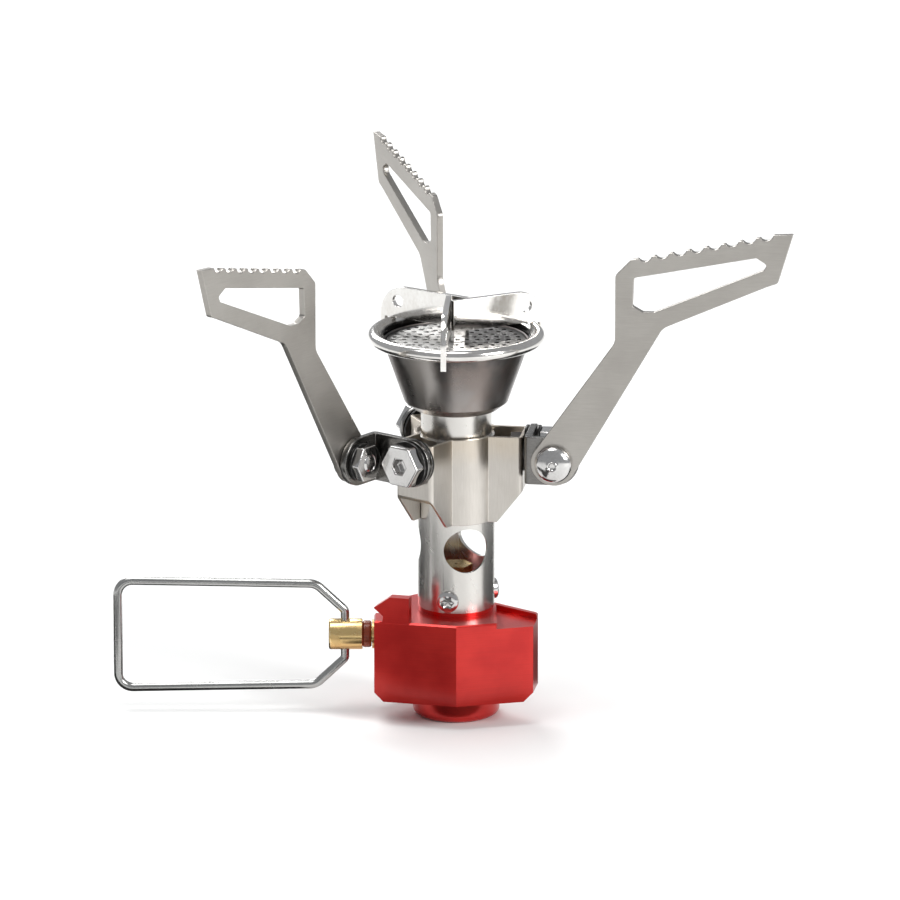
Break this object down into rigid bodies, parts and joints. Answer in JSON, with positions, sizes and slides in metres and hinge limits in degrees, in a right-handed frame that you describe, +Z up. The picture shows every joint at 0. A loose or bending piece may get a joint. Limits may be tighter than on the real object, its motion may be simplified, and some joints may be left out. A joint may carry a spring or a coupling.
{
  "type": "canister stove",
  "caption": "Folding camping stove that screws on a gas canister: red valve block with wire handle, slim stem, small burner and folding toothed pot arms.",
  "frame": {"origin": "centre of the mouth of the canister thread, on the burner axis", "axes": "+Z up along the burner axis, -X along the valve spindle towards the wire handle"},
  "size_m": [0.1194, 0.1019, 0.0918],
  "materials": {
    "red_anodised": "red anodised, satin",
    "brass": "turned",
    "seal_rubber": "black, soft",
    "sintered_bronze": "sintered, matt",
    "needle_steel": "ground",
    "stem_steel": "stainless, drawn",
    "yoke_steel": "stainless, pressed",
    "arm_steel": "stainless, stamped, satin",
    "link_steel": "stainless, bent",
    "cup_steel": "stainless, spun, heat darkened",
    "rim_steel": "stainless, polished",
    "plate_steel": "stainless, perforated",
    "vane_steel": "stainless, bright",
    "wire_steel": "stainless wire, drawn",
    "bolt_steel": "stainless, polished",
    "dark_steel": "black oxide",
    "ring_rubber": "amber red, glossy"
  },
  "bodies": {
    "stove": {"valve_block": "red_anodised", "canister_seal": "seal_rubber", "valve_opener_pin": "brass", "fuel_filter": "sintered_bronze", "gas_jet": "brass", "gland_nut": "brass", "stem_seal": "seal_rubber", "stem_tube": "stem_steel", "stem_screws": "bolt_steel", "support_yoke": "yoke_steel", "burner_neck": "stem_steel", "burner_cup": "cup_steel", "burner_rim": "rim_steel", "burner_plate": "plate_steel", "wind_vane_a": "vane_steel", "wind_vane_b": "vane_steel", "wind_vane_c": "vane_steel", "link_bolt_a": "bolt_steel", "link_washers_a": "dark_steel", "link_nut_a": "bolt_steel", "link_bolt_b": "bolt_steel", "link_washers_b": "dark_steel", "link_nut_b": "bolt_steel", "link_bolt_c": "bolt_steel", "link_washers_c": "dark_steel", "link_nut_c": "bolt_steel"},
    "spindle": {"valve_spindle": "brass", "spindle_ring": "ring_rubber"},
    "needle": {"valve_needle": "needle_steel"},
    "handle": {"wire_handle": "wire_steel"},
    "link_a": {"arm_link_a": "link_steel", "arm_bolt_a": "bolt_steel", "arm_washer_a": "dark_steel", "arm_nut_a": "bolt_steel"},
    "arm_a": {"pot_arm_a": "arm_steel"},
    "link_b": {"arm_link_b": "link_steel", "arm_bolt_b": "bolt_steel", "arm_washer_b": "dark_steel", "arm_nut_b": "bolt_steel"},
    "arm_b": {"pot_arm_b": "arm_steel"},
    "link_c": {"arm_link_c": "link_steel", "arm_bolt_c": "bolt_steel", "arm_washer_c": "dark_steel", "arm_nut_c": "bolt_steel"},
    "arm_c": {"pot_arm_c": "arm_steel"}
  },
  "joints": [
    {"name": "valve_turn", "type": "hinge", "parent": "stove", "child": "spindle", "pos_m": [0, 0, 0.0144], "axis": [-1, 0, 0], "range_deg": [0, 450]},
    {"name": "needle_travel", "type": "slide", "parent": "stove", "child": "needle", "axis": [-1, 0, 0], "range_m": [0, 0.001]},
    {"name": "handle_fold", "type": "hinge", "parent": "spindle", "child": "handle", "pos_m": [-0.0197, 0, 0.0144], "axis": [0, 0, 1], "range_deg": [-90, 90]},
    {"name": "link_flip_a", "type": "hinge", "parent": "stove", "child": "link_a", "pos_m": [0.01198, -0.00098, 0.049], "axis": [0.9903, -0.1392, 0], "range_deg": [0, 180]},
    {"name": "arm_swing_a", "type": "hinge", "parent": "link_a", "child": "arm_a", "pos_m": [0.0171, -0.01123, 0.049], "axis": [-0.1392, -0.9903, 0], "range_deg": [0, 30]},
    {"name": "link_flip_b", "type": "hinge", "parent": "stove", "child": "link_b", "pos_m": [-0.00514, 0.01086, 0.049], "axis": [-0.3746, 0.9272, 0], "range_deg": [0, 180]},
    {"name": "arm_swing_b", "type": "hinge", "parent": "link_b", "child": "arm_b", "pos_m": [0.00117, 0.02043, 0.049], "axis": [0.9272, 0.3746, 0], "range_deg": [0, 30]},
    {"name": "link_flip_c", "type": "hinge", "parent": "stove", "child": "link_c", "pos_m": [-0.00684, -0.00989, 0.049], "axis": [-0.6157, -0.788, 0], "range_deg": [0, 180]},
    {"name": "arm_swing_c", "type": "hinge", "parent": "link_c", "child": "arm_c", "pos_m": [-0.01828, -0.0092, 0.049], "axis": [-0.788, 0.6157, 0], "range_deg": [0, 30]}
  ],
  "couplings": [
    {"joint": "needle_travel", "follows": "valve_turn", "m_per_rad": 0.00012732}
  ]
}
